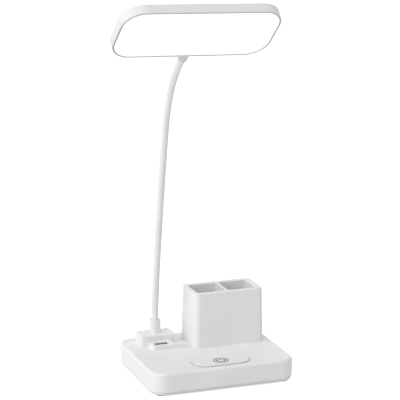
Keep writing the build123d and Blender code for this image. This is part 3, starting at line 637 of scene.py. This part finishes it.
@dataclass
class NeckSleeve:
    """The smooth silicone sleeve over the neck's seven links.

    Each stretch runs from the middle of one link to the middle of the next, so
    that it crosses a single hinge and bends softly there.

    Attributes:
        foot: centre of the collar's mouth.
        radius: radius of the sleeve.
        lengths: length of each link.
        bends: forward bend of each link, in degrees.
        turns: sideways bend of each link, in degrees.
        grip: length that runs on inside the ferrule.
        tuck: length that runs down inside the collar.
        segments: corners round the sleeve.
        ring_step: distance between rings along it.
        least_rings: least number of rings in one sweep.
    """

    foot: Vector
    radius: float = 3.65 * MM
    lengths: tuple[float, ...] = (18.0 * MM,) + (46.2 * MM,) * 6
    bends: tuple[float, ...] = (6.3, 3.5, 1.2, 1.0, 0.6, 20.9, 13.2)
    turns: tuple[float, ...] = (0, 0, 0, 0, 0, -1.5, 4.5)
    grip: float = 9.0 * MM
    tuck: float = 8.0 * MM
    segments: int = 40
    ring_step: float = 1.5 * MM
    least_rings: int = 2

    def arcs(self) -> list[NeckArc]:
        """Lay out the neck's centreline.

        Returns:
            One arc for each link, from the collar to the ferrule.
        """
        found: list[NeckArc] = []
        start = Matrix.Translation(self.foot)
        for length, forward, sideways in zip(self.lengths, self.bends, self.turns):
            bend = math.hypot(forward, sideways)
            heading = math.degrees(math.atan2(sideways, forward))
            arc = NeckArc(start, length, bend, heading)
            found.append(arc)
            start = arc.place(1.0)
        return found

    def lit_side(self) -> Triple:
        """The way that the head's lit face looks, which is along the neck end's -y axis."""
        side = self.arcs()[-1].place(1.0).to_3x3() @ Vector((0, -1, 0))
        return side.x, side.y, side.z

    def _sweep(
        self, shape: bmesh.types.BMesh, ring: list[Any], arc: NeckArc, share: float
    ) -> list[Any]:
        """Spin an open ring on along part of an arc.

        Args:
            shape: the bmesh to add to.
            ring: edges and vertices of the ring to go on from.
            arc: the arc to follow.
            share: how much of the arc to follow.

        Returns:
            Edges and vertices of the last ring.
        """
        made = bmesh.ops.spin(
            shape,
            geom=ring,
            cent=arc.centre(),
            axis=arc.axis(),
            angle=math.radians(arc.bend * share),
            steps=max(self.least_rings, round(arc.length * share / self.ring_step)),
        )
        return made["geom_last"]

    def _extend(
        self, shape: bmesh.types.BMesh, ring: list[Any], direction: Vector, length: float
    ) -> list[Any]:
        """Run a ring straight on.

        Args:
            shape: the bmesh to add to.
            ring: edges and vertices of the ring to go on from.
            direction: unit vector to follow.
            length: how far to go.

        Returns:
            Edges and vertices of the last ring.
        """
        edges = [e for e in ring if isinstance(e, bmesh.types.BMEdge)]
        made = bmesh.ops.extrude_edge_only(shape, edges=edges)["geom"]
        verts = [v for v in made if isinstance(v, bmesh.types.BMVert)]
        bmesh.ops.translate(shape, verts=verts, vec=direction * length)
        new = set(verts)
        rims = [
            e
            for e in made
            if isinstance(e, bmesh.types.BMEdge) and all(v in new for v in e.verts)
        ]
        return rims + verts

    def stretch(self, index: int) -> bpy.types.Object:
        """Build the stretch of sleeve that crosses one hinge.

        Args:
            index: 1 for the lowest hinge.

        Returns:
            The finished piece, not yet riding on anything.
        """
        arcs = self.arcs()
        low, high = arcs[index - 1], arcs[index]
        first, last = index == 1, index == len(arcs) - 1
        shape = bmesh.new()
        begin = low.start @ Matrix.Translation((0, 0, -self.tuck)) if first else low.place(0.5)
        made = bmesh.ops.create_circle(
            shape, cap_ends=False, segments=self.segments, radius=self.radius, matrix=begin
        )
        ring: list[Any] = list(made["verts"]) + list(shape.edges)
        if first:
            along = low.start.to_3x3() @ Vector((0, 0, 1))
            ring = self._extend(shape, ring, along, self.tuck)
        ring = self._sweep(shape, ring, low, 1.0 if first else 0.5)
        ring = self._sweep(shape, ring, high, 1.0 if last else 0.5)
        if last:
            along = high.place(1.0).to_3x3() @ Vector((0, 0, 1))
            ring = self._extend(shape, ring, along, self.grip)
        bmesh.ops.remove_doubles(shape, verts=shape.verts, dist=WELD)
        rims = [e for e in shape.edges if e.is_boundary]
        bmesh.ops.holes_fill(shape, edges=rims, sides=self.segments)
        bmesh.ops.recalc_face_normals(shape, faces=shape.faces)
        for face in shape.faces:
            face.smooth = len(face.verts) == 4
        for edge in rims:
            edge.smooth = False
        return mesh_object(f"neck_sleeve_stretch_{index}", shape, SILICONE)

    def build(self, bodies: Sequence[str]) -> None:
        """Build every stretch and hide the frame's sleeve nodes that it takes the place of.

        Args:
            bodies: not used.
        """
        arcs = self.arcs()
        for index in range(1, len(arcs)):
            piece = self.stretch(index)
            low, high = arcs[index - 1], arcs[index]
            start = low.place(0.0 if index == 1 else 0.5).to_translation()
            end = high.place(0.5).to_translation()
            nodes = [f"neck_sleeve_{index}"] + (["neck_sleeve_0"] if index == 1 else [])
            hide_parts(*nodes)
            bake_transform(piece)
            LOG.info("sleeve stretch %d, %d faces", index, len(piece.data.polygons))


@dataclass
class TouchSymbol:
    """The printed ring with a plain on-off mark on the touch panel.

    Attributes:
        top: height of the panel's face.
        centre: the ring's place in the plan.
        ring_radius: outer radius of the ring.
        line: width of the printed line.
        mark_radius: outer radius of the on-off mark, and length of its bar.
        mark_start: direction that the mark's arc starts in, in degrees.
        mark_sweep: how far the arc goes, in degrees.
        bar_lift: distance of the bar's middle from the centre, in mark radii.
        step: angle between corners of an arc, in degrees.
        film: thickness of the ink.
    """

    top: float
    centre: tuple[float, float]
    ring_radius: float = 7.5 * MM
    line: float = 1.4 * MM
    mark_radius: float = 4.8 * MM
    mark_start: float = 120.0
    mark_sweep: float = 300.0
    bar_lift: float = 0.7
    step: float = 6.0
    film: float = 0.04 * MM

    def _arc(self, shape: bmesh.types.BMesh, radius: float, begin: float, angle: float) -> None:
        """Add a flat printed arc.

        Args:
            shape: the bmesh to add to.
            radius: outer radius of the arc.
            begin: direction that it starts in, in degrees.
            angle: how far it goes, in degrees.
        """
        direction = Vector((math.cos(math.radians(begin)), math.sin(math.radians(begin)), 0))
        ends = [shape.verts.new(direction * r) for r in (radius - self.line, radius)]
        edge = shape.edges.new(ends)
        bmesh.ops.spin(
            shape,
            geom=[*ends, edge],
            cent=(0, 0, 0),
            axis=(0, 0, 1),
            angle=math.radians(angle),
            steps=round(angle / self.step),
            use_merge=angle >= 360,
        )

    def build(self) -> bpy.types.Object:
        """Print the symbol on the panel.

        Returns:
            The finished piece, riding on the base.
        """
        shape = bmesh.new()
        self._arc(shape, self.ring_radius, 0, 360)
        self._arc(shape, self.mark_radius, self.mark_start, self.mark_sweep)
        bar = bmesh.ops.create_grid(shape, x_segments=1, y_segments=3, size=HALF_UNIT)["verts"]
        bmesh.ops.scale(shape, verts=bar, vec=(self.line, self.mark_radius, 1))
        bmesh.ops.translate(shape, verts=bar, vec=(0, self.mark_radius * self.bar_lift, 0))
        bmesh.ops.remove_doubles(shape, verts=shape.verts, dist=WELD)
        bmesh.ops.recalc_face_normals(shape, faces=shape.faces)
        bmesh.ops.solidify(shape, geom=shape.faces, thickness=self.film)
        low = min(v.co.z for v in shape.verts)
        place = Vector((*self.centre, self.top - low))
        bmesh.ops.translate(shape, verts=shape.verts, vec=place)
        bmesh.ops.recalc_face_normals(shape, faces=shape.faces)
        piece = mesh_object("touch_symbol", shape, PRINT_INK)
        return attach(piece, "base")


@dataclass
class SocketSprings:
    """The two bowed spring tongues pressed out of the charging socket's front sheet.

    Attributes:
        centre: the socket's place in the plan.
        face: where the sheet's inner face stands.
        mouth: height of the socket's mouth.
        spread: distance between the two tongues.
        width: width of one tongue.
        length: its height.
        bow: how far it bows into the socket.
        sheet: thickness of the sheet.
        top_gap: distance from the mouth to its upper end.
        rows: number of steps along it.
    """

    centre: float
    face: float
    mouth: float
    spread: float = 5.6 * MM
    width: float = 1.7 * MM
    length: float = 5.0 * MM
    bow: float = 0.45 * MM
    sheet: float = 0.2 * MM
    top_gap: float = 1.4 * MM
    rows: int = 10

    def build(self) -> bpy.types.Object:
        """Press both tongues.

        Returns:
            The finished piece, riding on the base.
        """
        shape = bmesh.new()
        for side in (-self.spread / 2, self.spread / 2):
            made = bmesh.ops.create_grid(
                shape, x_segments=2, y_segments=self.rows, size=HALF_UNIT
            )
            for vert in made["verts"]:
                share = vert.co.y + HALF_UNIT
                across = self.centre + side + vert.co.x * self.width
                depth = self.face + self.bow * math.sin(math.pi * share) ** 2
                height = self.mouth - self.top_gap - self.length * share
                vert.co = (across, depth, height)
        bmesh.ops.recalc_face_normals(shape, faces=shape.faces)
        bmesh.ops.solidify(shape, geom=shape.faces, thickness=self.sheet)
        bmesh.ops.recalc_face_normals(shape, faces=shape.faces)
        for face in shape.faces:
            face.smooth = True
        piece = mesh_object("socket_springs", shape, NICKEL_SHEET)
        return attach(piece, "base")


# The lamp


@dataclass
class DeskLamp:
    """The whole lamp: the dressed frame and the pieces that are added to it.

    Attributes:
        bodies: names of the bodies from the base to the head, in order.
    """

    frame: dict[str, Any]
    bodies: tuple[str, ...] = (
        "base",
        "neck_link_1",
        "neck_link_2",
        "neck_link_3",
        "neck_link_4",
        "neck_link_5",
        "head",
    )

    def finish_of(self, node: str) -> Finish:
        """Look up the finish of one node of the frame.

        Args:
            node: the node's name.

        Returns:
            Its finish.
        """
        if node.startswith("neck_sleeve"):
            return SILICONE
        if node.startswith("neck_core"):
            return DRAWN_STEEL
        if node == "diffuser":
            return replace(OPAL_ACRYLIC, facing=self.sleeve().lit_side())
        return NODE_FINISHES[node]

    def sleeve(self) -> NeckSleeve:
        """The neck's sleeve, standing in the collar's mouth."""
        low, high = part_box("neck_collar")
        return NeckSleeve(Vector(((low.x + high.x) / 2, (low.y + high.y) / 2, high.z)))

    def dress(self) -> None:
        """Give every node of the frame its finish."""
        for name, piece in self.frame["nodes"].items():
            finish = self.finish_of(name)
            piece.data.materials.clear()
            piece.data.materials.append(finish.build())
            LOG.info("node %s: %s", name, finish.name)

    def add_pieces(self) -> None:
        """Add the pieces that the frame leaves to this file."""
        self.sleeve().build(self.bodies)
        low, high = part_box("touch_panel")
        TouchSymbol(high.z, ((low.x + high.x) / 2, (low.y + high.y) / 2)).build()
        LOG.info("touch symbol printed")
        low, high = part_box("usb_socket_shell")
        SocketSprings((low.x + high.x) / 2, low.y + SOCKET_SHEET, high.z).build()
        LOG.info("socket springs pressed")


# Studio


@dataclass(frozen=True)
class SoftLamp:
    """One large soft lamp of the studio.

    Attributes:
        name: the lamp's name.
        place: where it hangs.
        power: its power in watts.
        size: width of its square face.
    """

    name: str
    place: Triple
    power: float
    size: float = 2.0

    def hang(self, target: Vector) -> None:
        """Hang the lamp so that it aims at a point.

        Args:
            target: the point.
        """
        data = bpy.data.lights.new(self.name, "AREA")
        data.size = self.size
        data.energy = self.power
        lamp = bpy.data.objects.new(self.name, data)
        lamp.location = self.place
        lamp.rotation_euler = (target - Vector(self.place)).to_track_quat("-Z", "Y").to_euler()
        bpy.context.scene.collection.objects.link(lamp)


@dataclass
class Studio:
    """A pale floor, soft lamps, an even white surround and the camera.

    Attributes:
        centre: the point that the lamps aim at.
        lamps: the soft lamps.
        sky: strength of the even light from all round.
        floor_colour: sRGB colour of the table top.
        floor_reach: distance from the table top's middle to its edges.
        floor_glow: strength of the light that lifts it to white for the camera.
        camera_place: the camera's place.
        camera_azimuth: the way it looks, in degrees turned from +Y.
        camera_drop: how far it looks down, in degrees.
        camera_lens_mm: its focal length.
        camera_sensor_mm: width of its sensor.
        camera_clip: the nearest and the farthest that it sees.
    """

    centre: Triple = (0.0, 0.0, 0.15)
    lamps: tuple[SoftLamp, ...] = (
        SoftLamp("side_left", (-3.6, 0.0, 1.1), power=35.0),
        SoftLamp("key_left", (-2.7, -1.6, 1.7), power=22.5),
        SoftLamp("above", (0.0, -0.3, 4.0), power=34.0),
    )
    sky: float = 0.52
    floor_colour: str = "#F2F2F2"
    floor_reach: float = 6.0
    floor_glow: float = 0.75
    camera_place: Triple = (-0.5748, -1.5835, 0.5817)
    camera_azimuth: float = -19.779
    camera_drop: float = 13.449
    camera_lens_mm: float = 157.42
    camera_sensor_mm: float = 36.0
    camera_clip: tuple[float, float] = (0.05, 30.0)

    def camera(self) -> None:
        """Set up the camera at the photograph's place."""
        data = bpy.data.cameras.new("camera")
        data.lens = self.camera_lens_mm
        data.sensor_width = self.camera_sensor_mm
        data.sensor_fit = "HORIZONTAL"
        data.clip_start, data.clip_end = self.camera_clip
        camera = bpy.data.objects.new("camera", data)
        camera.location = self.camera_place
        camera.rotation_euler = (
            math.radians(90 - self.camera_drop),
            0.0,
            math.radians(self.camera_azimuth),
        )
        bpy.context.scene.collection.objects.link(camera)
        bpy.context.scene.camera = camera

    def world(self) -> None:
        """Light evenly from all round, and show pure white behind the lamp."""
        world = bpy.data.worlds.new("white_surround")
        bpy.context.scene.world = world
        world.use_nodes = True
        tree = world.node_tree
        tree.nodes.clear()
        path = add_node(tree, "ShaderNodeLightPath")
        seen = path.outputs["Is Camera Ray"]
        for ray in ("Is Glossy Ray", "Is Transmission Ray"):
            seen = add_node(
                tree, "ShaderNodeMath", {"operation": "MAXIMUM"}, {0: seen, 1: path.outputs[ray]}
            ).outputs["Value"]
        soft = add_node(
            tree, "ShaderNodeBackground", inputs={"Color": WHITE, "Strength": self.sky}
        )
        shown = add_node(tree, "ShaderNodeBackground", inputs={"Color": WHITE, "Strength": 1.0})
        mix = add_node(
            tree,
            "ShaderNodeMixShader",
            inputs={"Fac": seen, 1: soft.outputs["Background"], 2: shown.outputs["Background"]},
        )
        add_node(tree, "ShaderNodeOutputWorld", inputs={"Surface": mix.outputs["Shader"]})

    def floor_paint(self) -> bpy.types.Material:
        """Make the table top's white, which keeps a faint shadow.

        Returns:
            The finished material.
        """
        material = bpy.data.materials.new("white table top")
        material.use_nodes = True
        tree = material.node_tree
        tree.nodes.clear()
        seen = add_node(tree, "ShaderNodeLightPath").outputs["Is Camera Ray"]
        matt = add_node(
            tree, "ShaderNodeBsdfDiffuse", inputs={"Color": linear(self.floor_colour)}
        ).outputs["BSDF"]
        glow = add_node(
            tree, "ShaderNodeEmission", inputs={"Color": WHITE, "Strength": self.floor_glow}
        ).outputs["Emission"]
        both = add_node(tree, "ShaderNodeAddShader", inputs={0: matt, 1: glow}).outputs["Shader"]
        mix = add_node(tree, "ShaderNodeMixShader", inputs={"Fac": seen, 1: matt, 2: both})
        add_node(tree, "ShaderNodeOutputMaterial", inputs={"Surface": mix.outputs["Shader"]})
        return material

    def floor(self) -> None:
        """Lay the plain table top."""
        shape = bmesh.new()
        bmesh.ops.create_grid(shape, x_segments=2, y_segments=2, size=self.floor_reach)
        mesh = bpy.data.meshes.new("table_top")
        shape.to_mesh(mesh)
        shape.free()
        mesh.materials.append(self.floor_paint())
        table = bpy.data.objects.new("table_top", mesh)
        bpy.context.scene.collection.objects.link(table)

    def build(self) -> None:
        """Set up the whole studio."""
        bpy.context.scene.view_settings.view_transform = "Standard"
        self.camera()
        self.world()
        self.floor()
        for lamp in self.lamps:
            lamp.hang(Vector(self.centre))
        LOG.info("studio ready")


def main() -> None:
    """Load the frame, dress it, add the pieces and set up the studio."""
    logging.basicConfig(level=logging.INFO, format="%(name)s: %(message)s")
    for thing in list(bpy.data.objects):
        bpy.data.objects.remove(thing)
    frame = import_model()
    lamp = DeskLamp(frame)
    lamp.dress()
    lamp.add_pieces()
    Studio().build()


if __name__ == "__main__":
    main()
